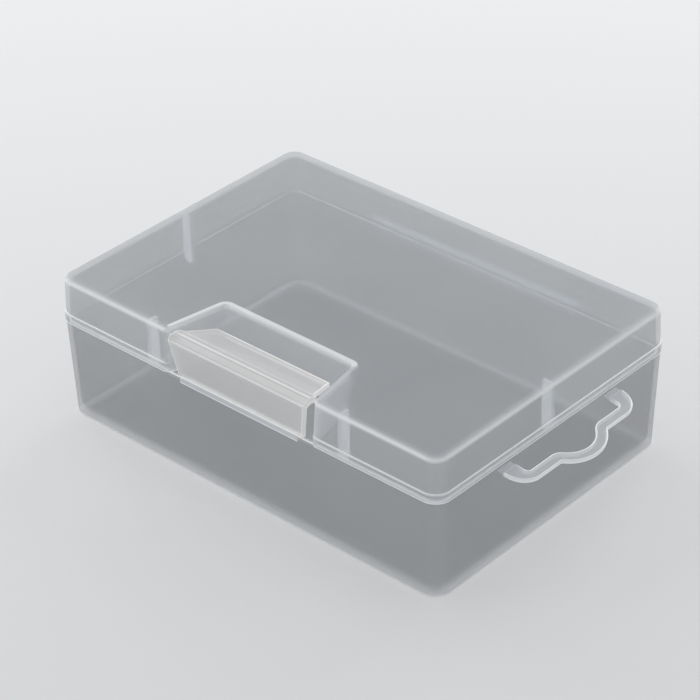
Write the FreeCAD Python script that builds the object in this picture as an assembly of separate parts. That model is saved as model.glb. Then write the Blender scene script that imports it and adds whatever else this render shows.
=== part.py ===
"""Small hinged storage box of thin, milky, half-clear plastic.

The base is a drafted tray. The lid turns on a living hinge along the back edge of the rim. The lid's
front has a pocket, and a latch flap, hinged on the front of the base's rim, closes up into it. An
arched hanging tab is hinged on the right of the rim. Each hinge is a thin web between two thicker parts.
The origin is the middle of the base's underside. X runs along the length, Y to the back, Z up.
All lengths are in millimetres, and angles in degrees.
"""
import FreeCAD, Part
import math
import os

from FreeCAD import Vector

# Whole box, over the lid's rim band
box_length = 110.0
box_width = 77.0
box_height = 35.5
base_height = 24.5
corner_radius = 4.0
parting_gap = 0.1
cut_overrun = 2.0

# Base tray
base_wall = 1.0
base_floor = 1.0
base_rim_step = 0.15
base_foot_inset = 0.82
base_foot_corner_radius = 4.8
base_foot_fillet = 0.8
base_floor_fillet = 1.5

# Lid shell and the band round its rim
lid_wall = 1.0
lid_top = 1.0
lid_rim_step = 0.2
lid_top_inset = 0.57
lid_top_fillet = 1.0
rim_band_height = 2.35
rim_band_round = 0.3

# Pocket in the lid's front, measured to its open faces
pocket_top_front_half = 21.3
pocket_top_back_half = 18.5
pocket_low_front_half = 20.7
pocket_low_back_half = 17.0
pocket_top_depth = 16.2
pocket_low_depth = 14.7
pocket_corner_radius = 1.2
pocket_wall = 1.0

# Shelf on the base that closes the pocket from below
shelf_thickness = 1.2
shelf_margin = 0.8

# Locating ribs inside the lid, square to its walls
rib_thickness = 1.0
rib_reach = 3.0
rib_drop = 2.2
rib_clearance = 0.4
rib_tip_chamfer = 0.8
front_rib_offset = 27.5

# Living hinges
web_thickness = 0.3
hinge_gap = 0.5

# Back hinge
back_hinge_length = 60.0
back_bar_depth = 0.9
lid_bar_height = 1.3
base_bar_height = 2.0
back_bar_round = 0.25

# Latch flap, whose widths are the pocket's less a gap on each side
latch_ear_clearance = 0.2
latch_low_gap = 3.3
latch_high_gap = 1.7
latch_top_step = 0.9
latch_plate_thickness = 1.2
latch_bevel_rise = 1.3
latch_bevel_depth = 2.0
latch_bar_depth = 3.2
latch_bar_thickness = 1.5
latch_ear_drop = 1.0
latch_lip_thickness = 1.1
latch_lip_front_gap = 1.2
latch_lip_back_gap = 1.7
latch_finger_gap = 3.65
latch_lip_slope_degrees = 15.0
latch_web_lap = 0.5
latch_web_end_margin = 0.4

# Hanging tab
tab_half_length = 19.8
tab_depth = 6.2
tab_end_radius = 5.2
tab_lobe_radius = 10.0
tab_lobe_setback = 0.3
tab_band_width = 2.6
tab_foot_width = 4.2
tab_thickness = 1.0
tab_edge_round = 0.25
tab_wall_clearance = 0.35
tab_root_gap = 0.45
tab_hinge_drop = 0.75
tab_web_end_margin = 0.35
tab_droop_degrees = 10.0

half_length = box_length / 2
half_width = box_width / 2
lid_bottom = base_height + parting_gap
pocket_low_y = pocket_low_depth - half_width
pocket_top_y = pocket_top_depth - half_width
rib_low = base_height - rib_drop
rib_high = box_height - lid_top


def share_between(low, high, at):
    """How far a height lies from low to high, as a share."""
    return (at - low) / (high - low)


def base_inset(z):
    """How far the base's outer wall stands inside the rim band at a height."""
    return base_foot_inset + (base_rim_step - base_foot_inset) * share_between(0, base_height, z)


def lid_inset(z):
    """How far the lid's outer wall stands inside the rim band at a height."""
    return lid_rim_step + (lid_top_inset - lid_rim_step) * share_between(lid_bottom, box_height, z)


def rounded_wire(corners, radius, z):
    """Closed outline at one height, with every corner of the polygon turned by an arc."""
    points = [Vector(x, y, z) for x, y in corners]
    arcs = []
    for index, corner in enumerate(points):
        to_last = (points[index - 1] - corner).normalize()
        to_next = (points[(index + 1) % len(points)] - corner).normalize()
        half_angle = to_last.getAngle(to_next) / 2
        setback = radius / math.tan(half_angle)
        to_middle = (to_last + to_next).normalize()
        arc_middle = corner + to_middle * (radius / math.sin(half_angle) - radius)
        arcs.append((corner + to_last * setback, arc_middle, corner + to_next * setback))
    edges = []
    for index, (start, middle, end) in enumerate(arcs):
        edges.append(Part.Arc(start, middle, end).toShape())
        edges.append(Part.LineSegment(end, arcs[(index + 1) % len(arcs)][0]).toShape())
    return Part.Wire(edges)


def rectangle(half_x, half_y):
    """The four corners of a rectangle about the Z axis."""
    return [(-half_x, -half_y), (half_x, -half_y), (half_x, half_y), (-half_x, half_y)]


def drafted_block(low_wire, high_wire):
    """Solid with straight drafted sides between two outlines."""
    return Part.makeLoft([low_wire, high_wire], True, True)


def box_between(low, high):
    """Plain block from its lowest to its highest corner."""
    size = [b - a for a, b in zip(low, high)]
    return Part.makeBox(*size, Vector(*low))


def prism(points, direction):
    """Flat polygon drawn through points and carried along a direction."""
    outline = Part.makePolygon([Vector(*point) for point in [*points, points[0]]])
    return Part.Face(outline).extrude(Vector(*direction))


def edges_at_height(shape, z):
    """The edges of a shape that lie level at one height."""
    near = parting_gap / 2
    return [e for e in shape.Edges if abs(e.BoundBox.ZMin - z) < near and abs(e.BoundBox.ZMax - z) < near]


def outline_block(inset, low, high, low_radius, high_radius):
    """Block between two heights whose sides follow an inset that changes with height."""
    wires = []
    for z, radius in ((low, low_radius), (high, high_radius)):
        corners = rectangle(half_length - inset(z), half_width - inset(z))
        wires.append(rounded_wire(corners, radius, z))
    return drafted_block(*wires)


def base_side_block():
    """The base filled solid, with its drafted sides and a sharp foot."""
    return outline_block(base_inset, 0, base_height, base_foot_corner_radius, corner_radius)


def base_outer_block():
    """The base filled solid, with its rounded foot."""
    block = base_side_block()
    return block.makeFillet(base_foot_fillet, edges_at_height(block, 0))


def base_cavity_block(top):
    """The space inside the base up to a height, with its rounded floor edge."""
    def inset(z):
        return base_inset(z) + base_wall
    low_radius = base_foot_corner_radius - base_wall
    block = outline_block(inset, base_floor, top, low_radius, corner_radius - base_wall)
    return block.makeFillet(base_floor_fillet, edges_at_height(block, base_floor))


def lid_outer_block(bottom):
    """The lid filled solid from a height up, with its rounded top edge."""
    block = outline_block(lid_inset, bottom, box_height, corner_radius, corner_radius)
    return block.makeFillet(lid_top_fillet, edges_at_height(block, box_height))


def lid_cavity_block(bottom):
    """The space inside the lid from a height up to the underside of its top."""
    def inset(z):
        return lid_inset(z) + lid_wall
    radius = corner_radius - lid_wall
    return outline_block(inset, bottom, rib_high, radius, radius)


def pocket_back_at(z):
    """The pocket's open back face at a height."""
    return pocket_low_y + (pocket_top_y - pocket_low_y) * share_between(lid_bottom, box_height, z)


def pocket_half_at(y, z):
    """Half of the pocket's open width at a distance back and a height."""
    share = share_between(lid_bottom, box_height, z)
    front_half = pocket_low_front_half + (pocket_top_front_half - pocket_low_front_half) * share
    back_half = pocket_low_back_half + (pocket_top_back_half - pocket_low_back_half) * share
    return front_half + (back_half - front_half) * share_between(-half_width, pocket_back_at(z), y)


def pocket_block(grow, low, high):
    """The pocket's space between two heights, grown outwards all round, and open past the front."""
    wires = []
    front_y = -half_width - cut_overrun
    for z in (low, high):
        back_y = pocket_back_at(z) + grow
        wide = pocket_half_at(front_y, z) + grow
        narrow = pocket_half_at(back_y, z) + grow
        corners = [(-wide, front_y), (wide, front_y), (narrow, back_y), (-narrow, back_y)]
        wires.append(rounded_wire(corners, pocket_corner_radius + grow, z))
    return drafted_block(*wires)


def pocket_space():
    """The pocket cut out of the lid, run past the lid above and below."""
    return pocket_block(0, lid_bottom - cut_overrun, box_height + cut_overrun)


def make_base_tray():
    return base_outer_block().cut(base_cavity_block(base_height + cut_overrun))


def make_latch_shelf():
    """Level shelf inside the base's rim, under the whole pocket."""
    low, high = base_height - shelf_thickness, base_height
    shelf = pocket_block(pocket_wall + shelf_margin, low, high)
    return shelf.common(base_cavity_block(base_height))


def make_lid_shell():
    below = lid_bottom - cut_overrun
    filled = lid_outer_block(lid_bottom)
    return filled.cut(lid_cavity_block(below)).cut(pocket_space())


def make_lid_rim_band():
    """Raised band round the foot of the lid's wall, broken at the pocket."""
    top = lid_bottom + rim_band_height
    corners = rectangle(half_length, half_width)
    low_wire = rounded_wire(corners, corner_radius, lid_bottom)
    high_wire = rounded_wire(corners, corner_radius, top)
    band = drafted_block(low_wire, high_wire)
    band = band.makeFillet(rim_band_round, edges_at_height(band, top))
    return band.cut(lid_outer_block(lid_bottom - cut_overrun)).cut(pocket_space())


def make_pocket_wall():
    """Two side walls and a back wall that line the pocket inside the lid."""
    lining = pocket_block(pocket_wall, lid_bottom, rib_high)
    return lining.common(lid_cavity_block(lid_bottom)).cut(pocket_space())


def make_rib(across):
    """Upright rib in the X-Z plane on the right wall: its foot drops into the base, clear of its wall."""
    wall_x = half_length - lid_inset(rib_high) - lid_wall
    inner_x = half_length - lid_inset(lid_bottom) - lid_wall - rib_reach
    foot_x = half_length - base_inset(base_height) - base_wall - rib_clearance
    outer_x = wall_x + cut_overrun
    upper = box_between((inner_x, -rib_thickness / 2, lid_bottom), (outer_x, rib_thickness / 2, rib_high))
    upper = upper.common(lid_cavity_block(lid_bottom))
    foot = prism(
        [
            (inner_x, -rib_thickness / 2, lid_bottom),
            (inner_x, -rib_thickness / 2, rib_low + rib_tip_chamfer),
            (inner_x + rib_tip_chamfer, -rib_thickness / 2, rib_low),
            (foot_x - rib_tip_chamfer, -rib_thickness / 2, rib_low),
            (foot_x, -rib_thickness / 2, rib_low + rib_tip_chamfer),
            (foot_x, -rib_thickness / 2, lid_bottom),
        ],
        (0, rib_thickness, 0),
    )
    rib = upper.fuse(foot).removeSplitter()
    rib.translate(Vector(across, 0, 0))
    return rib


def make_side_rib(side):
    """Rib on the left wall for side -1, on the right wall for side 1."""
    rib = make_rib(0)
    if side < 0:
        rib.rotate(Vector(0, 0, 0), Vector(0, 0, 1), 180)
    return rib


def make_front_rib(side):
    """Rib on the front wall, left of the pocket for side -1, right of it for side 1."""
    rib = make_rib(half_width - half_length)
    rib.rotate(Vector(0, 0, 0), Vector(0, 0, 1), -90)
    rib.translate(Vector(side * front_rib_offset, 0, 0))
    return rib


def back_bar(low, high, seat):
    """Bar of the back hinge between two heights, cut to sit against its wall."""
    half = back_hinge_length / 2
    outer_y = half_width + back_bar_depth
    bar = box_between((-half, half_width - cut_overrun, low), (half, outer_y, high))
    outer = [e for e in bar.Edges if e.BoundBox.YMin > outer_y - parting_gap]
    ends = [e for e in outer if e.BoundBox.XLength < hinge_gap]
    return bar.makeFillet(back_bar_round, ends).cut(seat)


def make_base_hinge_bar():
    low = base_height - base_bar_height
    return back_bar(low, base_height - hinge_gap / 2, base_side_block())


def make_lid_hinge_bar():
    low = lid_bottom + hinge_gap / 2
    high = lid_bottom + lid_bar_height
    seat = outline_block(lambda z: 0, lid_bottom, box_height, corner_radius, corner_radius)
    return back_bar(low, high, seat)


def make_back_hinge_web():
    """Thin strip across the outer faces of the two bars, which bends between them."""
    half = back_hinge_length / 2
    inner_y = half_width + back_bar_depth
    low = (-half, inner_y, base_height - base_bar_height / 2)
    high = (half, inner_y + web_thickness, lid_bottom + lid_bar_height / 2)
    return box_between(low, high)


latch_front = base_rim_step - half_width
latch_inner = latch_front + latch_plate_thickness
latch_bar_back = latch_front + latch_bar_depth
latch_lip_back = pocket_low_y - latch_finger_gap
latch_low = lid_bottom + hinge_gap
latch_top = box_height - latch_top_step
latch_high = latch_top - latch_bevel_rise
latch_low_half = pocket_low_front_half - latch_low_gap
latch_high_half = pocket_low_front_half - latch_high_gap
latch_ear_front_half = pocket_half_at(latch_front, lid_bottom) - latch_ear_clearance
latch_ear_back_half = pocket_half_at(latch_bar_back, lid_bottom) - latch_ear_clearance


def plan_prism(front_half, front_y, back_half, back_y, low, height):
    """Upright block whose plan narrows or widens evenly from front to back."""
    plan = [
        (-front_half, front_y, low),
        (front_half, front_y, low),
        (back_half, back_y, low),
        (-back_half, back_y, low),
    ]
    return prism(plan, (0, 0, height))


def make_latch_plate():
    """Upright front plate of the flap, flush with the base's front, wider at its top."""
    points = [
        (-latch_low_half, latch_front, latch_low),
        (latch_low_half, latch_front, latch_low),
        (latch_high_half, latch_front, latch_high),
        (-latch_high_half, latch_front, latch_high),
    ]
    return prism(points, (0, latch_plate_thickness, 0))


def make_latch_ear(side):
    """Swept wing that widens the plate's top corner out to the bar's end."""
    points = [
        (side * latch_high_half, latch_front, latch_high),
        (side * latch_ear_front_half, latch_front, latch_high),
        (side * latch_high_half, latch_front, latch_high - latch_ear_drop),
    ]
    ear = prism(points, (0, latch_plate_thickness, 0))
    reach = latch_high - latch_ear_drop
    return ear.common(latch_bar_plan(reach, latch_ear_drop))


def latch_bar_plan(low, height):
    """Block that holds the bar's plan, with its ends set clear of the pocket's sides."""
    return plan_prism(latch_ear_front_half, latch_front, latch_ear_back_half, latch_bar_back, low, height)


def make_latch_bar():
    """Bevelled bar along the flap's top, with an ear at each end that fills the pocket's width."""
    left = -latch_ear_front_half
    section = [
        (left, latch_front, latch_high),
        (left, latch_front + latch_bevel_depth, latch_top),
        (left, latch_bar_back, latch_top),
        (left, latch_bar_back, latch_top - latch_bar_thickness),
        (left, latch_inner, latch_high),
    ]
    bar = prism(section, (2 * latch_ear_front_half, 0, 0))
    low = min(latch_high, latch_top - latch_bar_thickness)
    bar = bar.common(latch_bar_plan(low, latch_top - low))
    return bar.fuse([make_latch_ear(side) for side in (-1, 1)]).removeSplitter()


def make_latch_lip():
    """Sloping lip behind the bar, narrower at its back edge, which a fingertip pulls."""
    front_half = pocket_half_at(latch_bar_back, lid_bottom) - latch_lip_front_gap
    back_half = pocket_half_at(latch_lip_back, lid_bottom) - latch_lip_back_gap
    fall = (latch_lip_back - latch_bar_back) * math.tan(math.radians(latch_lip_slope_degrees))
    low = latch_top - fall - latch_lip_thickness
    side_view = [
        (-front_half, latch_bar_back, latch_top),
        (-front_half, latch_lip_back, latch_top - fall),
        (-front_half, latch_lip_back, low),
        (-front_half, latch_bar_back, latch_top - latch_lip_thickness),
    ]
    lip = prism(side_view, (2 * front_half, 0, 0))
    return lip.common(plan_prism(front_half, latch_bar_back, back_half, latch_lip_back, low, latch_top - low))


def make_latch_hinge_web():
    """Thin strip from the base's front rim up to the foot of the flap."""
    half = latch_low_half - latch_web_end_margin
    low = (-half, latch_front - web_thickness, base_height - latch_web_lap)
    high = (half, latch_front, latch_low + latch_web_lap)
    return box_between(low, high)


tab_axis_x = half_length + tab_wall_clearance + tab_thickness / 2
tab_axis_z = base_height - tab_hinge_drop


def slot_outline_block(half_long, depth, end_radius, lobe_radius):
    """Flat block in the tab's plane: a slab with rounded ends joined to a round middle lobe."""
    thickness = tab_thickness
    corners = [(-depth, -half_long), (depth, -half_long), (depth, half_long), (-depth, half_long)]
    slab = Part.Face(rounded_wire(corners, end_radius, -thickness / 2)).extrude(Vector(0, 0, thickness))
    lobe = Part.makeCylinder(lobe_radius, thickness, Vector(-tab_lobe_setback, 0, -thickness / 2))
    return slab.fuse(lobe).removeSplitter()


def place_tab(shape):
    """Turn a shape drawn flat, with the hinge along its Y axis, down to the tab's rest angle."""
    shape.rotate(Vector(0, 0, 0), Vector(0, 1, 0), tab_droop_degrees)
    shape.translate(Vector(tab_axis_x, 0, tab_axis_z))
    return shape


def make_hang_tab():
    """Arched hanging tab with a long slot and a round middle, open towards the wall."""
    outer = slot_outline_block(tab_half_length, tab_depth, tab_end_radius, tab_lobe_radius)
    slot = slot_outline_block(
        tab_half_length - tab_foot_width,
        tab_depth - tab_band_width,
        tab_end_radius - tab_band_width,
        tab_lobe_radius - tab_band_width,
    )
    reach = tab_lobe_radius + cut_overrun
    keep_low = (tab_root_gap, -tab_half_length, -tab_thickness)
    keep_high = (reach, tab_half_length, tab_thickness)
    tab = outer.cut(slot).common(box_between(keep_low, keep_high))
    past_root = tab_root_gap + parting_gap
    rims = [e for e in tab.Edges if e.BoundBox.ZLength < tab_edge_round and e.BoundBox.XMin > past_root]
    return place_tab(tab.makeFillet(tab_edge_round, rims))


def make_hanger_hinge_web():
    """Two short webs from the base's rim to the feet of the hanging tab."""
    half = tab_foot_width / 2 - tab_web_end_margin
    webs = []
    for side in (-1, 1):
        middle = side * (tab_half_length - tab_foot_width / 2)
        low = (-cut_overrun, middle - half, -web_thickness / 2)
        high = (tab_root_gap, middle + half, web_thickness / 2)
        webs.append(place_tab(box_between(low, high)).cut(base_side_block()))
    return Part.makeCompound(webs)


def build():
    """Make every piece, by the name of its node."""
    return {
        "base_tray": make_base_tray(),
        "base_hinge_bar": make_base_hinge_bar(),
        "latch_shelf": make_latch_shelf(),
        "lid_shell": make_lid_shell(),
        "lid_rim_band": make_lid_rim_band(),
        "lid_pocket_wall": make_pocket_wall(),
        "lid_hinge_bar": make_lid_hinge_bar(),
        "lid_rib_left": make_side_rib(-1),
        "lid_rib_right": make_side_rib(1),
        "lid_rib_front_left": make_front_rib(-1),
        "lid_rib_front_right": make_front_rib(1),
        "latch_plate": make_latch_plate(),
        "latch_bar": make_latch_bar(),
        "latch_lip": make_latch_lip(),
        "hang_tab": make_hang_tab(),
        "back_hinge_web": make_back_hinge_web(),
        "latch_hinge_web": make_latch_hinge_web(),
        "hanger_hinge_web": make_hanger_hinge_web(),
    }


os.makedirs("parts", exist_ok=True)
for node, shape in build().items():
    shape.exportStep(os.path.join("parts", node + ".step"))
    print(node, "valid" if shape.isValid() else "not valid", len(shape.Solids), "solids")
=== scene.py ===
"""Small hinged storage box of thin, milky, half-clear polypropylene, shown shut on a pale floor.

Sizes are in millimetres and go into the meshes in metres. Each section makes one moulded piece: its
sizes, its mesh, its plastic and the body that carries it. Meshes are rings of points worked out as
whole arrays, and each carries an edge light share, by which an edge is painted whiter: a painted highlight.
"""
import math

import bmesh
import bpy
import numpy as np
from mathutils import Matrix, Vector


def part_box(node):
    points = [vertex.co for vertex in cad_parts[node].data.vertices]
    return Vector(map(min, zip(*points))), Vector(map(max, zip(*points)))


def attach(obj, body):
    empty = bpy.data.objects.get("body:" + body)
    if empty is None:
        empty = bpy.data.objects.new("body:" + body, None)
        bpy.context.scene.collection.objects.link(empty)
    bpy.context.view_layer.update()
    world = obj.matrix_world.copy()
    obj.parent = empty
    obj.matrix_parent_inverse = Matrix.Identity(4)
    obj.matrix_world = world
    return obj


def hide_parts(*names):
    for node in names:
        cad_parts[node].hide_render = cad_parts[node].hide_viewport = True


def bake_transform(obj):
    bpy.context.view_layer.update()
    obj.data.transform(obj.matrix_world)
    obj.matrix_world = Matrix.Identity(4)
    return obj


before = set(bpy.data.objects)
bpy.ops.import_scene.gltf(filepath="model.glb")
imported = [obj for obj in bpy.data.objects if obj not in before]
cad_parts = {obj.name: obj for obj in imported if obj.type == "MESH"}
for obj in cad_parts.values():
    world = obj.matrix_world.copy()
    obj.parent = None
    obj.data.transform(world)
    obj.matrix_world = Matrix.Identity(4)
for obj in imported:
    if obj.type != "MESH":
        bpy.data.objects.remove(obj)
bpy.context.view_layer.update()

# Base tray: the open, drafted lower half of the box, injection moulded in milky polypropylene about
# 1 mm thick. Its foot is rounded, and its flat rim carries the lid, the latch flap and the tab.
mm = 0.001


def node_box(name):
    """Lowest and highest corner of a CAD node, in millimetres."""
    low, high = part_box(name)
    return np.array(low) / mm, np.array(high) / mm


def unit(vectors):
    """The vectors at length 1."""
    return vectors / np.linalg.norm(vectors, axis=-1, keepdims=True)


def rounded_outline(corners, radii, arc_steps=8, run_steps=6):
    """Closed outline with every corner turned by an arc.

    The arc's middle lies on the corner's bisector, radius / sin(half the corner's angle) away. The arc
    sweeps between the two points where it meets the sides, and the run to the next arc is divided evenly.
    """
    corners = np.array(corners, float)
    radii = np.broadcast_to(np.array(radii, float), len(corners))
    to_last = unit(np.roll(corners, 1, 0) - corners)
    to_next = unit(np.roll(corners, -1, 0) - corners)
    half_angle = np.arccos(np.sum(to_last * to_next, 1)) / 2
    setback = (radii / np.tan(half_angle))[:, None]
    middle = corners + unit(to_last + to_next) * (radii / np.sin(half_angle))[:, None]
    start = (corners + to_last * setback - middle)[:, None]
    end = (corners + to_next * setback - middle)[:, None]
    sweep = (math.pi - 2 * half_angle)[:, None, None]
    share = np.linspace(0, 1, arc_steps + 1)[None, :, None]
    arcs = (np.sin((1 - share) * sweep) * start + np.sin(share * sweep) * end) / np.sin(sweep)
    arcs = arcs + middle[:, None]
    share = np.linspace(0, 1, run_steps + 1)[None, 1:-1, None]
    runs = arcs[:, -1:] * (1 - share) + np.roll(arcs[:, :1], -1, 0) * share
    return np.concatenate([arcs, runs], 1).reshape(-1, 2)


def quarter(steps=5):
    """Sine and 1 - cosine over a quarter turn, for rounded edges."""
    turn = np.linspace(0, math.pi / 2, steps + 1)
    return np.sin(turn), 1 - np.cos(turn)


def rings_of(outline, insets, heights):
    """Stack one outline(inset, height) for each pair of an inset and a height, as rings of 3-D points."""
    rings = []
    for inset, height in zip(insets, heights):
        plan = outline(inset, height)
        rings.append(np.column_stack([plan, np.full(len(plan), height)]))
    return np.array(rings)


class Shade:
    """A socket in a material. Arithmetic on it adds Math nodes, and node() adds any other node."""

    def __init__(self, tree, socket=None):
        self.tree = tree
        self.socket = socket

    def node(self, kind, settings, sockets, output=0):
        """Add a node: its settings first, then the value or the link of each input."""
        made = self.tree.nodes.new("ShaderNode" + kind)
        for name, value in settings.items():
            setattr(made, name, value)
        for name, value in sockets.items():
            if isinstance(value, Shade):
                self.tree.links.new(value.socket, made.inputs[name])
            else:
                made.inputs[name].default_value = value
        return Shade(self.tree, made.outputs[output] if made.outputs else None)

    def maths(self, operation, first, second):
        return self.node("Math", {"operation": operation}, {0: first, 1: second})

    def __add__(self, other):
        return self.maths("ADD", self, other)

    __radd__ = __add__

    def __sub__(self, other):
        return self.maths("SUBTRACT", self, other)

    def __rsub__(self, other):
        return self.maths("SUBTRACT", other, self)

    def __mul__(self, other):
        return self.maths("MULTIPLY", self, other)

    __rmul__ = __mul__

    def blend(self, low, high):
        """Mix two colours by this share."""
        return self.node("Mix", {"data_type": "RGBA"}, {0: self, 6: low, 7: high}, output=2)


def grey(level, warmth=0.0):
    """A colour from its level out of 255 on screen, a little warmer or, below 0, cooler."""
    shown = [level + warmth, level, level - warmth]
    linear = [((c / 255 + 0.055) / 1.055) ** 2.4 for c in shown]
    return (*linear, 1.0)


clear_level = 230
lamp_level = 249
cloud_scale = 40.0
cloud_haze = 0.025
cloud_tint = 4
cloud_warmths = (-5, -2)
skin_scale = 400.0
skin_gloss = 0.06
edge_gloss = 0.12
lining_share = 0.8
edge_glow_share = 0.6
glow_tint = 6
glow_warmth = -3
refraction = 1.49
gloss = 0.45
crease_angle = math.radians(38)


def milky_plastic(name, body, edge, haze, edge_haze, roughness=0.34, glow=0.55, warmth=0):
    """Milky plastic: haze is the share of light that a face stops. Edges are painted whiter, a painted
    highlight, and stop more.

    Of the light stopped, glow is the share that comes out on the other side, which lights the walls from
    within, and the inner face of a wall stops less than the outer one. The light that passes is dimmed to
    clear_level, or for a lamp's light to lamp_level. Soft clouds 25 mm across, left by the flow of the
    melt, vary the haze and the tint, and a finer noise varies the gloss, as the skin of a moulding does.
    """
    material = bpy.data.materials.new(name)
    material.use_nodes = True
    tree = material.node_tree
    tree.nodes.clear()
    start = Shade(tree)
    place = start.node("TexCoord", {}, {}, output="Object")
    light = start.node("Attribute", {"attribute_name": "painted_edge_light"}, {}, output="Fac")
    cloud = start.node("TexNoise", {}, {"Vector": place, "Scale": cloud_scale, "Detail": 0.0}) - 0.5
    skin = start.node("TexNoise", {}, {"Vector": place, "Scale": skin_scale, "Detail": 0.0}) - 0.5
    dull, pale = (warmth + step for step in cloud_warmths)
    tint = (0.5 + cloud).blend(grey(body - cloud_tint, dull), grey(body + cloud_tint, pale))
    # The edge light share is a painted highlight: it paints the colour towards the whiter edge colour,
    # raises the haze, cuts the glow by edge_glow_share and lowers the roughness, so that rounds and rims
    # show as bright lines.
    colour = light.blend(tint, grey(edge, warmth / 2 + 1))
    lining = start.node("Attribute", {"attribute_name": "lining"}, {}, output="Fac")
    plain = haze + cloud_haze * cloud - lining * (haze * lining_share)
    opaque = plain + light * (edge_haze - plain)
    sockets = {
        "Base Color": colour,
        "Roughness": roughness + skin_gloss * skin - edge_gloss * light,
        "IOR": refraction,
        "Specular IOR Level": gloss,
    }
    surface = start.node("BsdfPrincipled", {}, sockets)
    inside = start.node("BsdfTranslucent", {}, {"Color": grey(body + glow_tint, warmth + glow_warmth)})
    through = glow - light * (glow * edge_glow_share)
    solid = start.node("MixShader", {}, {0: through, 1: surface, 2: inside})
    clear = start.node("BsdfTransparent", {}, {"Color": grey(clear_level)})
    seen = start.node("MixShader", {}, {0: opaque, 1: clear, 2: solid})
    lamp_ray = start.node("LightPath", {}, {}, output="Is Shadow Ray")
    passing = start.node("BsdfTransparent", {}, {"Color": grey(lamp_level)})
    shader = start.node("MixShader", {}, {0: lamp_ray, 1: seen, 2: passing})
    start.node("OutputMaterial", {}, {"Surface": shader})
    return material


def add_moulding(name, rings, painted_edge_light, material, body, nodes, lining=(0, 0)):
    """Piece whose surface joins ring to ring, with a flat face on the first and last ring.

    rings is an array (ring, point, xyz) in millimetres, and the edge light has one painted highlight share
    for each point. The rings from the first to the second number of lining are the inner face of a wall.
    """
    rows, count = rings.shape[:2]
    index = np.arange(rows * count).reshape(rows, count)
    beside = np.roll(index, -1, 1)
    quads = np.stack([index[:-1], beside[:-1], beside[1:], index[1:]], -1).reshape(-1, 4)
    faces = quads.tolist() + [index[0, ::-1].tolist(), index[-1].tolist()]
    mesh = bpy.data.meshes.new(name)
    mesh.from_pydata((rings.reshape(-1, 3) * mm).tolist(), [], faces)
    light = np.broadcast_to(painted_edge_light, (rows, count)).astype(np.float32).ravel()
    mesh.attributes.new("painted_edge_light", "FLOAT", "POINT").data.foreach_set("value", light)
    inner = np.zeros((rows, count), np.float32)
    inner[lining[0]:lining[1]] = 1
    mesh.attributes.new("lining", "FLOAT", "POINT").data.foreach_set("value", inner.ravel())
    mesh.materials.append(material)
    shell = bmesh.new()
    shell.from_mesh(mesh)
    bmesh.ops.recalc_face_normals(shell, faces=shell.faces)
    shell.to_mesh(mesh)
    shell.free()
    mesh.shade_smooth()
    mesh.set_sharp_from_angle(angle=crease_angle)
    piece = bpy.data.objects.new(name, mesh)
    bpy.context.scene.collection.objects.link(piece)
    flattening = piece.modifiers.new("flat_faces", "WEIGHTED_NORMAL")
    flattening.weight = 100
    flattening.keep_sharp = True
    if body:
        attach(piece, body)
    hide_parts(*nodes)
    return piece


tray_high = node_box("base_tray")[1]
rim_z = tray_high[2]
tray_wall = 1.0
tray_floor = 1.0
tray_draft = 0.67
tray_rim_radius = 4.0
tray_foot_radius = 4.8
least_corner_radius = 1.0
tray_foot_round = 0.8
tray_floor_round = 1.5
rim_round = 0.15
rim_inner_round = 0.1
rim_inset = [0.5 * tray_wall, 0.65 * tray_wall, tray_wall - rim_inner_round, tray_wall]
edge_fade = 0.45
wall_foot_margin = 0.15
wall_rim_margin = 0.1
foot_fade = 0.7
foot_flat = 2.2
floor_flat = 1.0
tray_lining_rings = 15


def tray_draft_at(z):
    """How far the outer wall stands in from the rim at a height."""
    return tray_draft * (1 - z / rim_z)


def tray_outline(inset, z):
    """The tray's plan, drawn in from its rim by an inset."""
    half_x, half_y = tray_high[0] - inset, tray_high[1] - inset
    radius = tray_rim_radius + (tray_foot_radius - tray_rim_radius) * (1 - z / rim_z)
    corners = [(half_x, -half_y), (half_x, half_y), (-half_x, half_y), (-half_x, -half_y)]
    return rounded_outline(corners, max(radius - inset, least_corner_radius), arc_steps=10, run_steps=16)


sine, rise = quarter()
foot_z = tray_foot_round * rise
foot_inset = tray_draft + tray_foot_round * (1 - sine)
rim_top_z = rim_z - rim_round * (1 - sine)
floor_z = tray_floor + tray_floor_round * (1 - sine)
floor_inset = tray_draft + tray_wall + tray_floor_round * rise
wall_z = np.linspace(tray_foot_round + wall_foot_margin, rim_z - rim_round - wall_rim_margin, 6)
lining_z = np.linspace(rim_z - 2 * edge_fade, tray_floor + tray_floor_round, 5)
lining_z = np.concatenate([[rim_z - edge_fade], lining_z])
foot_edge = tray_draft + tray_foot_round
floor_edge = tray_draft + tray_wall + tray_floor_round
# The third column is each ring's edge light, a painted highlight: on the foot's round, along the rim and the
# top of the inner wall, where a whiter line shows through the lid, and on the floor's round.
tray_profile = [
    ([foot_edge + foot_flat], [0.0], [0.0]),
    ([foot_edge + foot_fade], [0.0], [0.5]),
    (foot_inset, foot_z, [0.55, 0.65, 0.65, 0.65, 0.6, 0.5]),
    (tray_draft_at(wall_z), wall_z, np.zeros(len(wall_z))),
    (rim_round * rise, rim_top_z, np.zeros(len(sine))),
    (rim_inset, [rim_z, rim_z, rim_z, rim_z - rim_inner_round], [0.1, 1.0, 1.0, 1.0]),
    (tray_draft_at(lining_z) + tray_wall, lining_z, [0.7, 0, 0, 0, 0, 0.05]),
    (floor_inset, floor_z, np.full(len(sine), 0.3)),
    ([floor_edge + floor_flat], [tray_floor], [0.0]),
]
insets, heights, lights = (np.concatenate(column) for column in zip(*tray_profile))
tray_rings = rings_of(tray_outline, insets, heights)
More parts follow.
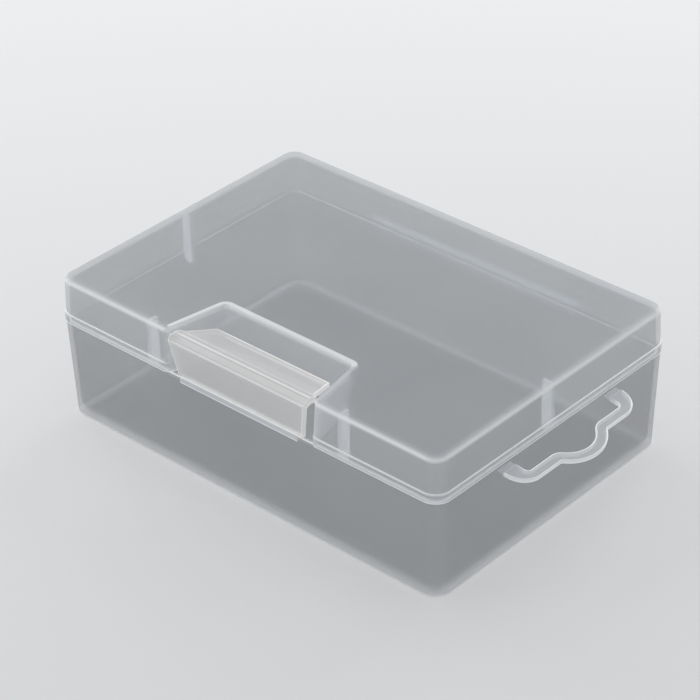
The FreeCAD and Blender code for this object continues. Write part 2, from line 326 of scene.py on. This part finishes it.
# The tray is a darker copy of the lid's plastic: painted shade on the base, whose walls stand in less light
# than the lid's top.
tray_plastic = milky_plastic("milky_base", body=204, edge=252, haze=0.33, edge_haze=0.92, glow=0.45)
tray_lining = (len(lights) - tray_lining_rings, len(lights))
lights = lights[:, None]
add_moulding("tray", tray_rings, lights, tray_plastic, "base", ["base_tray"], tray_lining)

# Lid: one moulding with a flat top, drafted walls and a raised band round its foot. Its wall turns in
# at the front to line the pocket for the latch flap, so the pocket's sides and back are wall too.
lid_half_x, lid_half_y = node_box("lid_rim_band")[1][:2]
lid_z, lid_top_z = (corner[2] for corner in node_box("lid_shell"))
lid_wall = 1.0
lid_foot_step = 0.2
lid_top_step = 0.57
lid_corner_radius = 4.0
lid_top_round = 1.0
lid_inner_round = 0.6
band_height = 2.35
band_round = 0.28
mouth_radius = 1.7
least_mouth_radius = 0.25
pocket_edge_round = 0.25
pocket_radius = 1.2
pocket_foot_y, pocket_top_y = -23.8, -22.3
pocket_foot_halves = (20.7, 17.0)
pocket_top_halves = (21.3, 18.5)
lid_arc_steps = 8
lid_run_steps = 12


def lid_share(z):
    """How far a height lies up the lid, from 0 at its foot to 1 at its top."""
    return (z - lid_z) / (lid_top_z - lid_z)


def lid_step_at(z):
    """How far the lid's outer wall stands in from the band at a height."""
    return lid_foot_step + (lid_top_step - lid_foot_step) * lid_share(z)


def pocket_back_at(z):
    """The pocket's open back face at a height."""
    return pocket_foot_y + (pocket_top_y - pocket_foot_y) * lid_share(z)


def pocket_half_at(y, z):
    """Half of the pocket's open width, which narrows evenly to the back and widens evenly upwards."""
    foot, top = np.array(pocket_foot_halves), np.array(pocket_top_halves)
    front, back = foot + (top - foot) * lid_share(z)
    return front + (back - front) * (y + lid_half_y) / (pocket_back_at(z) + lid_half_y)


def lid_outline(inset, grow, z):
    """The lid's plan: a rounded rectangle drawn in by an inset, with the grown pocket cut into its front."""
    half_x, half_y = lid_half_x - inset, lid_half_y - inset
    back = pocket_back_at(z) + grow
    wide = pocket_half_at(-half_y, z) + grow
    narrow = pocket_half_at(back, z) + grow
    corners = [
        (wide, -half_y),
        (half_x, -half_y),
        (half_x, half_y),
        (-half_x, half_y),
        (-half_x, -half_y),
        (-wide, -half_y),
        (-narrow, back),
        (narrow, back),
    ]
    outer = max(lid_corner_radius - inset, least_corner_radius)
    mouth = max(mouth_radius - 0.5 * (inset + grow), least_mouth_radius)
    radii = [mouth, outer, outer, outer, outer, mouth, pocket_radius + grow, pocket_radius + grow]
    return rounded_outline(corners, radii, lid_arc_steps, lid_run_steps)


def lid_ring(inset, z, grow, pocket_z):
    """One ring of the lid, at height z round the outer wall and at pocket_z round the pocket.

    The pocket's share goes from 0 to 1 round the left corner of its mouth, the outline's sixth corner, and
    back to 0 round the right one, its first.
    """
    corner_points = lid_arc_steps + lid_run_steps
    mouth_left = 5 * corner_points
    mouth_points = lid_arc_steps + 1
    pocket_share = np.zeros(8 * corner_points)
    pocket_share[mouth_left:] = 1
    pocket_share[mouth_left:mouth_left + mouth_points] = np.linspace(0, 1, mouth_points)
    pocket_share[:mouth_points] = np.linspace(1, 0, mouth_points)
    height = z + (pocket_z - z) * pocket_share
    plan = lid_outline(inset, grow, z)
    return np.column_stack([plan, height]), pocket_share


lid_under = lid_top_z - lid_wall
band_top = lid_z + band_height
sine, rise = quarter()
lining_inset = lid_step_at(lid_under) + lid_wall
foot_inner_inset = lid_step_at(lid_z) + lid_wall
top_inset = lid_step_at(lid_top_z) + lid_top_round
foot_inner_round = 0.1
foot_flat_width = 0.3
roof_flat = 1.0
pocket_roof_round = 0.2
pocket_foot_round = 0.1
lining_low_margin = 0.55
lining_high_margin = 0.5
# line_top and line_fade place a thin painted highlight line on the band above its foot. The lights that
# follow are painted highlights too, on the top edge's round, the band's top, the foot and round the pocket.
line_top = 0.34
line_fade = 0.1
band_fade = 0.2
wall_low_margin = 1.0
wall_high_margin = 0.3
edge_light_reach = 0.25
edge_fade_reach = 0.7
lining_light = 0.13
roof_light = 0.2
foot_light = 0.85
pocket_roof_light = 0.4
pocket_foot_light = 0.8
pocket_sole_light = 0.6
pocket_edge_light = 0.75
top_edge_lights = (0.3, 0.85, 1.0, 0.6, 0.2, 0.05)
lid_lining = (0, 14)
lid_profile = []


def lid_row(inset, z, light, grow, pocket_z, pocket_light):
    """Add a ring to the lid's profile: inset, height and light round the outside, then round the pocket."""
    lid_profile.append((inset, z, light, grow, pocket_z, pocket_light))


def wall_row(inset, z, light):
    """Add a ring on the outer face, whose points round the pocket lie on the pocket's open face."""
    lid_row(inset, z, light, 0.0, z, lining_light)


lid_row(lining_inset + lid_inner_round + roof_flat, lid_under, 0.0, lid_wall + roof_flat, lid_under, 0.0)
for s, r in zip(sine, rise):
    z, pocket_z = lid_under - lid_inner_round * r, lid_under - pocket_roof_round * r
    inset, grow = lining_inset + lid_inner_round * (1 - s), lid_wall + pocket_roof_round * (1 - s)
    lid_row(inset, z, roof_light, grow, pocket_z, pocket_roof_light)
for z in np.linspace(lid_under - lid_inner_round - lining_high_margin, lid_z + lining_low_margin, 6):
    lid_row(lid_step_at(z) + lid_wall, z, 0.0, lid_wall, z, lining_light)
z = lid_z + foot_inner_round
lid_row(foot_inner_inset, z, foot_light, lid_wall, z, 0.5)
for step, light in ((foot_inner_round, foot_light), (foot_flat_width, 0.0)):
    lid_row(foot_inner_inset - step, lid_z, light, lid_wall - step, lid_z, pocket_sole_light)
for s, r in zip(sine, rise):
    z = lid_z + rim_round * r
    lid_row(rim_round * (1 - s), z, s ** 2, pocket_foot_round * (1 - s), z, pocket_foot_light)
wall_row(0.0, lid_z + line_top, 1.0)
wall_row(0.0, lid_z + line_top + line_fade, 0.0)
wall_row(0.0, band_top - band_round - line_fade, 0.0)
for s, r in zip(sine, rise):
    wall_row(lid_step_at(band_top) * r, band_top - band_round * (1 - s), 0.4 + 0.6 * s)
for z, light in ((band_top + 0.4 * band_fade, 0.3), (band_top + band_fade, 0.0)):
    wall_row(lid_step_at(z), z, light)
for z in np.linspace(band_top + wall_low_margin, lid_top_z - lid_top_round - wall_high_margin, 6):
    wall_row(lid_step_at(z), z, 0.0)
for s, r, light in zip(sine, rise, top_edge_lights):
    z, pocket_z = lid_top_z - lid_top_round * (1 - s), lid_top_z - pocket_edge_round * (1 - s)
    inset = lid_step_at(z) + lid_top_round * r
    lid_row(inset, z, light, pocket_edge_round * r, pocket_z, pocket_edge_light)
lid_row(top_inset + edge_light_reach, lid_top_z, 0.05, lid_wall, lid_top_z, pocket_edge_light)
lid_row(top_inset + edge_fade_reach, lid_top_z, 0.0, lid_wall + pocket_roof_round, lid_top_z, 0.0)

lid_rings = []
lid_lights = []
# The pocket's right wall beside the flap is painted lighter over its whole face, a painted highlight for the
# light that falls on that side; its edges keep only right_edge_share of the pocket's painted edge light.
right_wall_painted_light = 0.62
right_edge_share = 0.3
back_margin = 0.6
right_foot_z = lid_z + 0.2
for inset, z, light, grow, pocket_z, pocket_light in lid_profile:
    ring, pocket_share = lid_ring(inset, z, grow, pocket_z)
    beside_flap = np.clip(pocket_back_at(z) + grow - back_margin - ring[:, 1], 0, 1)
    right_share = beside_flap * (ring[:, 0] > 0) * pocket_share
    on_wall = right_foot_z < pocket_z < lid_top_z - pocket_edge_round and grow <= lid_wall
    right_light = right_wall_painted_light if on_wall else pocket_light * right_edge_share
    shown = pocket_light + (right_light - pocket_light) * right_share
    lid_rings.append(ring)
    lid_lights.append(light + (shown - light) * pocket_share)
# The lid is a lighter copy of the same plastic: painted light, for its top faces the lamps.
lid_plastic = milky_plastic("milky_lid", body=235, edge=252, haze=0.31, edge_haze=0.92)
lid_nodes = ["lid_shell", "lid_rim_band", "lid_pocket_wall"]
lid_rings, lid_lights = np.array(lid_rings), np.array(lid_lights)
add_moulding("lid", lid_rings, lid_lights, lid_plastic, "lid", lid_nodes, lid_lining)

# Shelf on the base, just inside its front rim: a level plate of the same moulding that closes the lid's
# pocket from below.
shelf_low, shelf_high = node_box("latch_shelf")
shelf_round = 0.2
wall_gap = 0.02
least_radius = 0.03
shelf_fade = 0.3


def drawn_in(corners, radii, inset):
    """Outline of a polygon whose sides are moved inwards by an inset, with its corners rounded.

    Two neighbouring sides with inward normals a and b meet again at corner + inset * (a + b) / (1 + a.b).
    A corner that points outwards loses the inset from its radius, and one that points inwards gains it.
    """
    corners = np.array(corners, float)
    ahead = unit(np.roll(corners, -1, 0) - corners)
    behind = np.roll(ahead, 1, 0)
    turning = np.sum(corners[:, 0] * np.roll(corners[:, 1], -1) - corners[:, 1] * np.roll(corners[:, 0], -1))
    way = np.sign(turning)
    normal_ahead = way * np.column_stack([-ahead[:, 1], ahead[:, 0]])
    normal_behind = way * np.column_stack([-behind[:, 1], behind[:, 0]])
    meeting = (normal_ahead + normal_behind) / (1 + np.sum(normal_ahead * normal_behind, 1))[:, None]
    outward = np.sign(way * (behind[:, 0] * ahead[:, 1] - behind[:, 1] * ahead[:, 0]))
    rounded = np.maximum(np.array(radii, float) - outward * inset, least_radius)
    return rounded_outline(corners + inset * meeting, rounded, arc_steps=5, run_steps=4)


def rounded_slab(plan, low, high, edge_round, fade):
    """Rings of a flat slab whose outline is plan(inset), with heights from low to high.

    Both faces end in a quarter round, painted whiter as a painted highlight, and one more ring lies in from
    it by the fade, so that the painted highlight stays on the round.
    """
    sine, rise = quarter(3)
    inset = edge_round * np.concatenate([1 - sine, (1 - sine)[::-1]])
    inset = np.concatenate([[edge_round + fade], inset, [edge_round + fade]])
    height = np.concatenate([[low], low + edge_round * rise, high - edge_round * rise[::-1], [high]])
    light = np.concatenate([[0.0], np.ones(2 * len(sine)), [0.0]])
    return rings_of(lambda inset, height: plan(inset), inset, height), light[:, None]


def slab_rings(corners, radii, low, high, edge_round, fade):
    """Rings of a flat slab whose outline is a polygon with rounded corners."""
    return rounded_slab(lambda inset: drawn_in(corners, radii, inset), low, high, edge_round, fade)


shelf_margin = 0.8
shelf_front = shelf_low[1] + wall_gap
shelf_back = shelf_high[1]
shelf_front_half = pocket_half_at(shelf_front, lid_z) + lid_wall + shelf_margin
shelf_back_half = pocket_foot_halves[1] + lid_wall + shelf_margin
shelf_corners = [
    (shelf_front_half, shelf_front),
    (shelf_back_half, shelf_back),
    (-shelf_back_half, shelf_back),
    (-shelf_front_half, shelf_front),
]
shelf_radii = [0.3, 3.0, 3.0, 0.3]
# The shelf's rounds carry half of the painted edge highlight.
shelf_light_share = 0.5
shelf_rings, light = slab_rings(
    shelf_corners, shelf_radii, shelf_low[2], shelf_high[2], shelf_round, shelf_fade,
)
light = shelf_light_share * light
add_moulding("latch_shelf_plate", shelf_rings, light, tray_plastic, "base", ["latch_shelf"])

# Four upright ribs inside the lid, square to its walls and moulded with it. Their feet drop inside the
# base's walls and centre the lid as it closes.
rib_thickness = 1.0
rib_round = 0.15
rib_fade = 0.15
rib_foot_step = 0.35
rib_seat_gap = 0.01
rib_tip_chamfer = 0.8
rib_top_radius = 0.9
rib_tip_radius = 0.3
rib_seat_radius = 0.05
rib_inner_radius = 0.1
# The ribs get a whiter, denser copy of the plastic: painted light, so that they show as bright strips
# through the lid.
rib_plastic = milky_plastic("milky_rib", body=240, edge=248, haze=0.8, edge_haze=0.95, glow=0.65)


def placed(rings, origin, across, along, upward):
    """Rings drawn as (u, v, w) set in the box: u runs across, v along and w upward from the origin."""
    axes = np.array([across, along, upward], float)
    return np.array(origin, float) + rings @ axes


def add_rib(name, node, outward, origin):
    """A rib, drawn with u out to the wall, v upwards and w along the wall, across its thickness."""
    low, high = node_box(node)
    outward = np.array(outward, float)
    reach_low, reach_high = sorted((abs(low @ outward), abs(high @ outward)))
    foot = reach_high - wall_gap - rib_foot_step
    top = reach_high - wall_gap - (lid_step_at(high[2]) - lid_step_at(lid_z))
    corners = [
        (foot - rib_tip_chamfer, low[2]),
        (foot, low[2] + rib_tip_chamfer),
        (foot, lid_z - rib_seat_gap),
        (reach_high - wall_gap, lid_z),
        (top, high[2] - wall_gap),
        (reach_low, high[2] - wall_gap),
        (reach_low, low[2] + rib_tip_chamfer),
        (reach_low + rib_tip_chamfer, low[2]),
    ]
    tip, seat = [rib_tip_radius] * 2, [rib_seat_radius] * 2
    radii = [*tip, *seat, rib_top_radius, rib_inner_radius, *tip]
    half = rib_thickness / 2
    rings, light = slab_rings(corners, radii, -half, half, rib_round, rib_fade)
    side = np.cross(outward, (0, 0, 1))
    rings = placed(rings, origin, outward, (0, 0, 1), side)
    add_moulding(name, rings, light, rib_plastic, "lid", [node])


front_rib_x = sum(edge[0] for edge in node_box("lid_rib_front_right")) / 2
add_rib("rib_left", "lid_rib_left", (-1, 0, 0), (0, 0, 0))
add_rib("rib_right", "lid_rib_right", (1, 0, 0), (0, 0, 0))
add_rib("rib_front_left", "lid_rib_front_left", (0, -1, 0), (-front_rib_x, 0, 0))
add_rib("rib_front_right", "lid_rib_front_right", (0, -1, 0), (front_rib_x, 0, 0))

# Back hinge: a bar on the base and a bar on the lid, moulded on the outside of the walls, and a thin web
# over both. The web is whitened where it bends.
bar_round = 0.25
bar_end_round = 0.15
bar_end_fade = 0.1
bar_light_share = 0.1
web_round = 0.1
web_radius = 0.08
web_light = 0.1
web_plastic = milky_plastic("whitened_web", body=230, edge=248, haze=0.4, edge_haze=0.9, roughness=0.28)
# The bars get a whiter, nearly opaque copy of the plastic: partly their real solid thickness, partly painted
# light, so that they show as a bright strip through the lid.
bar_plastic = milky_plastic("milky_bar", body=246, edge=250, haze=0.95, edge_haze=0.95, glow=0.6)


def add_bar(name, node, wall_low, wall_high, body):
    """Bar along X whose section runs from the slanting wall to its outer face."""
    low, high = node_box(node)
    corners = [(high[1], low[2]), (high[1], high[2]), (wall_high, high[2]), (wall_low, low[2])]
    radii = [bar_round, bar_round, least_radius, least_radius]
    rings, light = slab_rings(corners, radii, low[0], high[0], bar_end_round, bar_end_fade)
    rings = placed(rings, (0, 0, 0), (0, 1, 0), (0, 0, 1), (1, 0, 0))
    add_moulding(name, rings, bar_light_share * light, bar_plastic, body, [node])


def add_web(name, node, bend_low, bend_high):
    """Thin upright web whose rings lie closest together between the heights where it bends."""
    low, high = node_box(node)
    middle, half = (low + high) / 2, (high - low) / 2

    def plan(inset, z):
        x, y = half[0] - inset, half[1] - inset * 0.5
        corners = [(x, -y), (x, y), (-x, y), (-x, -y)]
        return rounded_outline(corners, web_radius, arc_steps=3, run_steps=12) + middle[:2]

    end_heights = web_round * np.arange(3)
    bend_heights = np.linspace(bend_low, bend_high, 11)
    heights = np.concatenate([low[2] + end_heights, bend_heights, high[2] - end_heights[::-1]])
    insets = np.zeros(len(heights))
    insets[[0, -1]] = web_round
    # The web's ends carry the full painted edge highlight, its bend only a trace of whitening.
    end_light = [1, 1, 0.3]
    light = np.concatenate([end_light, np.full(len(bend_heights), web_light), end_light[::-1]])
    rings = rings_of(plan, insets, heights)
    web = add_moulding(name, rings, light[:, None], web_plastic, None, [node])
    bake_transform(web)


base_bar_foot, base_bar_top = (corner[2] for corner in node_box("base_hinge_bar"))
lid_bar_foot = node_box("lid_hinge_bar")[0][2]
base_wall_low, base_wall_high = (
    tray_high[1] + wall_gap - tray_draft_at(z) for z in (base_bar_foot, base_bar_top)
)
lid_wall_y = lid_half_y + wall_gap
add_bar("hinge_bar_base", "base_hinge_bar", base_wall_low, base_wall_high, "base")
add_bar("hinge_bar_lid", "lid_hinge_bar", lid_wall_y, lid_wall_y, "lid")
add_web("hinge_web_back", "back_hinge_web", base_bar_top, lid_bar_foot)

# Latch flap: a bent plate moulded with the box, hinged on the base's front rim. It stands up in the
# pocket's mouth, turns back over a bevelled bar with two ears, and ends in a sloping lip for a fingertip.
plate_low, plate_high = node_box("latch_plate")
flap_bar_high = node_box("latch_bar")[1]
lip_low, lip_high = node_box("latch_lip")
flap_thickness = plate_high[1] - plate_low[1]
lip_thickness = 1.1
bar_thickness = 1.5
flap_edge_round = 0.22
widest_edge_share = 0.45
flap_ridge_round = 0.35
longest_turn_share = 0.4
# ridge_light, ridge_strength, bevel_light, flap_side_light and the station lights below paint highlights on
# the flap: whiter lines on its ridges, side edges, foot and lip, and a lighter bevel, dimmed by end_dimming
# towards the left end.
ridge_light = np.array([0.1, 0.7, 1.0, 0.7, 0.1])
foot_half = 17.4
foot_right_half = 18.2
bevel_right_half = 19.2
plate_top_half = 18.9
ear_half = flap_bar_high[0]
bar_back_half = 19.7
lip_front_half = 18.7
lip_back_half = 16.2
ridge_z = plate_high[2]
flap_top_z = flap_bar_high[2]
bevel_depth = 2.0
bevel_slope = math.atan2(flap_top_z - ridge_z, bevel_depth)
bevel_light = 0.45
shoulder_reach = 3.2
shoulder_swell = 0.5
bevel_number = 2
flap_fade = 0.3
flap_side_light = 0.75
end_dimming = 0.7
face_steps = 20
lip_edge_z = lip_low[2] + lip_thickness


def flap_key(outer_y, outer_z, inner_y, inner_z, left, right):
    """A place along the flap: its outer and inner face, and how far it reaches to the left and right."""
    return [outer_y, outer_z, inner_y, inner_z, left, right]


front_y, inner_y = plate_low[1], plate_low[1] + flap_thickness
bar_y, bar_inner_z = flap_bar_high[1], flap_top_z - bar_thickness
bevel_y, bevel_inner_y = front_y + bevel_depth, front_y + bevel_depth + 0.2
under_ear_half, plate_right_half = ear_half - 0.5, plate_top_half - 0.1
ear_z, ear_inner_z = ridge_z - 1.2, ridge_z - bar_thickness
lip_y, lip_z = bar_y + 0.4, flap_top_z - 0.1
flap_keys = np.array([
    flap_key(front_y, plate_low[2], inner_y, plate_low[2], foot_half, foot_right_half),
    flap_key(front_y, ear_z, inner_y, ear_inner_z, under_ear_half, plate_right_half),
    flap_key(front_y, ridge_z, inner_y + 0.1, ridge_z - 0.8, ear_half, plate_top_half),
    flap_key(bevel_y, flap_top_z, bevel_inner_y, bar_inner_z, ear_half - 0.2, bevel_right_half),
    flap_key(bar_y, flap_top_z, bar_y, bar_inner_z, bar_back_half, bar_back_half),
    flap_key(lip_y, lip_z, lip_y, lip_z - lip_thickness, lip_front_half, lip_front_half),
    flap_key(lip_high[1], lip_edge_z, lip_high[1], lip_low[2], lip_back_half, lip_back_half),
])


def rounded_path(keys, reach):
    """Stations along a path of keys, each inner key rounded by a parabola that reaches so far each way."""
    length = np.linalg.norm(np.diff(keys[:, :2], axis=0), axis=1)[:, None]
    step = np.diff(keys, axis=0) * np.minimum(reach / length, longest_turn_share)
    inner = keys[1:-1]
    before, after = inner - step[:-1], inner + step[1:]
    share = np.linspace(0, 1, len(ridge_light))[None, :, None]
    near, middle, far = (1 - share) ** 2, 2 * share * (1 - share), share ** 2
    return near * before[:, None] + middle * inner[:, None] + far * after[:, None]


def flap_section(station, strength, shoulder):
    """One ring across the flap: its outer face, its rounded right edge, its inner face and its left edge.

    Towards the left end the outer face swells by the shoulder, at right angles to the bevel, in a smooth
    step, and its painted highlight grows dimmer.
    """
    outer, inner, left, right = station[:2], station[2:4], station[4], station[5]
    thickness = np.linalg.norm(outer - inner)
    edge = min(flap_edge_round, widest_edge_share * thickness)
    sine, rise = quarter(4)
    side = np.concatenate([edge * (sine - 1), edge * (sine[::-1] - 1)])
    depth = np.concatenate([edge * rise, thickness - edge * rise[::-1]])
    low, high = -left + edge + flap_fade, right - edge - flap_fade
    face = low + (high - low) * (1 - np.cos(np.linspace(0, math.pi, face_steps))) / 2
    x = np.concatenate([face, right + side, face[::-1], -left - side])
    flat = np.zeros(face_steps)
    down = np.concatenate([flat, depth, flat + thickness, depth[::-1]])
    side_light = np.full(len(side), flap_side_light)
    rim = np.concatenate([flat, side_light, flat, side_light])
    end_share = np.clip((shoulder_reach - left - x) / shoulder_reach, 0, 1)
    end_share = end_share ** 2 * (3 - 2 * end_share)
    swell = shoulder * end_share * (1 - down / thickness)
    inward = (inner - outer) / thickness
    y = outer[0] + down * inward[0] - swell * math.sin(bevel_slope)
    z = outer[1] + down * inward[1] + swell * math.cos(bevel_slope)
    return np.column_stack([x, y, z]), np.maximum(rim, strength * (1 - end_dimming * end_share))


ridge_keys = rounded_path(flap_keys, flap_ridge_round)
ridge_strength = [0.0, 1.0, 0.8, 0.5, 0.3]
stations = []


def add_stations(start, end, shares, lights, shoulder=0.0):
    """Add stations at some shares of the way from one key to another, with a shoulder highest midway."""
    for share, light in zip(shares, lights):
        stations.append((start + (end - start) * share, light, shoulder * math.sin(math.pi * share)))


add_stations(flap_keys[0], flap_keys[1], [0.0, 0.05], [0.8, 0.0])
for number, (turn, strength) in enumerate(zip(ridge_keys, ridge_strength)):
    if number == bevel_number:
        start = ridge_keys[number - 1][-1]
        add_stations(start, turn[0], [0.2, 0.4, 0.6, 0.8], np.full(4, bevel_light), shoulder_swell)
    stations.extend((station, light, 0.0) for station, light in zip(turn, ridge_light * strength))
add_stations(flap_keys[-2], flap_keys[-1], [0.92, 0.98, 1.0], [0.0, 0.9, 1.0])
flap_rings, flap_lights = zip(*(flap_section(*station) for station in stations))
flap_plastic = milky_plastic(
    "milky_flap", body=230, edge=250, haze=0.44, edge_haze=0.92, roughness=0.36, glow=0.4, warmth=3,
)
flap_nodes = ["latch_plate", "latch_bar", "latch_lip"]
flap_rings, flap_lights = np.array(flap_rings), np.array(flap_lights)
add_moulding("latch_flap", flap_rings, flap_lights, flap_plastic, "latch", flap_nodes)
add_web("hinge_web_latch", "latch_hinge_web", rim_z, plate_low[2])

# Hanging tab: an arched loop with a long slot and a round middle, moulded with the box and hinged on the
# right of the base's rim by two short webs. It droops 10 degrees and fits over a display hook.
tab_droop = math.radians(10)
tab_axis = (55.85, 0.0, 23.75)
tab_root = 0.45
tab_half = 19.8
tab_depth = 6.2
tab_end_radius = 5.2
tab_lobe_radius = 10.0
tab_lobe_setback = 0.3
tab_neck_radius = 0.8
tab_band = 2.6
tab_foot = 4.2
tab_slot_end_radius = 1.0
tab_thickness = 1.0
tab_round = 0.25
tab_fade = 0.15
tab_root_reach = 0.5
tab_root_light = 0.1


def arc(middle, radius, start, end, steps):
    """Points on an arc from one angle to another, in radians."""
    angle = np.linspace(start, end, steps + 1)
    return np.column_stack([middle[0] + radius * np.cos(angle), middle[1] + radius * np.sin(angle)])


def half_arch(root, half, depth, end_radius, lobe_radius, neck_radius):
    """Edge of the tab from its foot to the tip of its lobe, for v from half down to 0.

    The end turns by an arc into a straight run, which a neck arc joins to the lobe. The neck's middle lies
    lobe radius + neck radius from the lobe's middle and neck radius from the run, so both joints are smooth.
    """
    lobe = (-tab_lobe_setback, 0.0)
    neck_u = depth + neck_radius
    spread = lobe_radius + neck_radius
    neck_v = math.sqrt(spread ** 2 - (neck_u - lobe[0]) ** 2)
    lean = math.atan2(neck_v, neck_u - lobe[0])
    end = arc((depth - end_radius, half - end_radius), end_radius, math.pi / 2, 0, 10)
    neck = arc((neck_u, neck_v), neck_radius, math.pi, math.pi + lean, 8)
    tip = arc(lobe, lobe_radius, lean, 0, 12)
    return np.concatenate([[(root, half)], end, neck, tip[1:]])


def tab_plan(inset):
    """The tab's outline drawn in by an inset: round its outer edge and back round its slot."""
    root = tab_root + inset
    outer = half_arch(root, tab_half - inset, tab_depth - inset, tab_end_radius - inset,
                      tab_lobe_radius - inset, tab_neck_radius + inset)
    widened = tab_band - inset
    slot = half_arch(root, tab_half - tab_foot + inset, tab_depth - widened, tab_slot_end_radius + inset,
                     tab_lobe_radius - widened, tab_neck_radius + widened)
    mirror = np.array([1, -1])
    outer = np.concatenate([outer, (outer * mirror)[-2::-1]])
    slot = np.concatenate([slot, (slot * mirror)[-2::-1]])
    return np.concatenate([outer[::-1], slot])


tab_rings, tab_light = rounded_slab(
    tab_plan, -tab_thickness / 2, tab_thickness / 2, tab_round, tab_fade,
)
droop_out = (math.cos(tab_droop), 0, -math.sin(tab_droop))
droop_up = (math.sin(tab_droop), 0, math.cos(tab_droop))
tab_plastic = milky_plastic("milky_tab", body=232, edge=252, haze=0.38, edge_haze=0.9)
# Near its root the tab's rounds keep only a tenth of the painted edge highlight.
near_root = tab_rings[..., 0] < tab_root + tab_root_reach
tab_light = tab_light * np.where(near_root, tab_root_light, 1.0)
tab_rings = placed(tab_rings, tab_axis, droop_out, (0, 1, 0), droop_up)
add_moulding("hanging_tab", tab_rings, tab_light, tab_plastic, "hanger", ["hang_tab"])

web_overlap = 0.05
web_half = tab_foot / 2 - web_overlap
web_half_thickness = 0.15
web_start = -1.1
web_bend = 0.4


def web_section(inset, u):
    """Section across one of the tab's webs, which is the same all along it."""
    x, y = web_half - inset, web_half_thickness
    return rounded_outline([(x, -y), (x, y), (-x, y), (-x, -y)], web_radius, arc_steps=3, run_steps=4)


reach_u = np.linspace(web_start, tab_root + web_overlap, 14)
for side, label in ((-1, "front"), (1, "back")):
    strip = rings_of(web_section, np.zeros(len(reach_u)), reach_u)
    origin = np.array(tab_axis) + (0, side * (tab_half - tab_foot / 2), 0)
    strip = placed(strip, origin, (0, 1, 0), droop_up, droop_out)
    nodes = ["hanger_hinge_web"] if side > 0 else []
    dull = np.zeros((len(reach_u), 1))
    web = add_moulding(f"hinge_web_tab_{label}", strip, dull, tab_plastic, None, nodes)
    start = np.array(tab_axis) - web_bend * np.array(droop_out)
    tuple(start * mm)
    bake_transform(web)

# Floor, light and camera: a pale grey table under broad soft lamps on the left and behind, with a weaker
# one at the front left corner. The camera looks down from the front right. All sizes here are in metres.
floor_reach = 3.0
floor_drop = 0.0003
floor_corners = [(x * floor_reach, y * floor_reach) for x, y in ((-1, -1), (1, -1), (1, 1), (-1, 1))]
floor_mesh = bpy.data.meshes.new("pale_floor")
floor_mesh.from_pydata([(x, y, -floor_drop) for x, y in floor_corners], [], [(0, 1, 2, 3)])
floor_material = bpy.data.materials.new("pale_table")
floor_material.use_nodes = True
floor_shader = floor_material.node_tree.nodes["Principled BSDF"]
floor_shader.inputs["Base Color"].default_value = grey(206)
floor_shader.inputs["Roughness"].default_value = 0.8
floor_mesh.materials.append(floor_material)
floor_piece = bpy.data.objects.new("pale_floor", floor_mesh)
bpy.context.scene.collection.objects.link(floor_piece)

world = bpy.data.worlds.new("studio")
bpy.context.scene.world = world
world.use_nodes = True
surround = world.node_tree.nodes["Background"]
surround.inputs["Color"].default_value = (0.95, 0.97, 1.0, 1.0)
surround.inputs["Strength"].default_value = 0.56
box_middle_z = 0.02


def add_lamp(name, place, size, power):
    """Square soft lamp at a place in metres, turned to the middle of the box."""
    lamp = bpy.data.lights.new(name, "AREA")
    lamp.shape = "SQUARE"
    lamp.size = size
    lamp.energy = power
    holder = bpy.data.objects.new(name, lamp)
    bpy.context.scene.collection.objects.link(holder)
    holder.location = place
    aim = Vector((0, 0, box_middle_z)) - Vector(place)
    holder.rotation_euler = aim.to_track_quat("-Z", "Y").to_euler()


add_lamp("left_softbox", (-0.8, 0.1, 0.62), 0.6, 4.3)
add_lamp("back_softbox", (-0.1, 0.85, 0.58), 0.5, 5.8)
add_lamp("edge_softbox", (-0.58, -0.58, 0.62), 0.25, 1.5)

camera_place = Vector((0.33878, -0.37296, 0.34879))
camera_forward = Vector((-0.56591558, 0.61754605, -0.54623843))
camera_up = Vector((-0.3522391, 0.41792896, 0.83741448))
camera_data = bpy.data.cameras.new("camera")
camera_data.sensor_width = 36.0
camera_data.lens = 141.1
camera_data.clip_start = 0.01
camera = bpy.data.objects.new("camera", camera_data)
bpy.context.scene.collection.objects.link(camera)
right = camera_forward.cross(camera_up)
turn = Matrix((right, camera_up, -camera_forward)).transposed()
camera.matrix_world = Matrix.Translation(camera_place) @ turn.to_4x4()
bpy.context.scene.camera = camera

bpy.context.scene.view_settings.view_transform = "Standard"
bpy.context.scene.cycles.transparent_max_bounces = 24
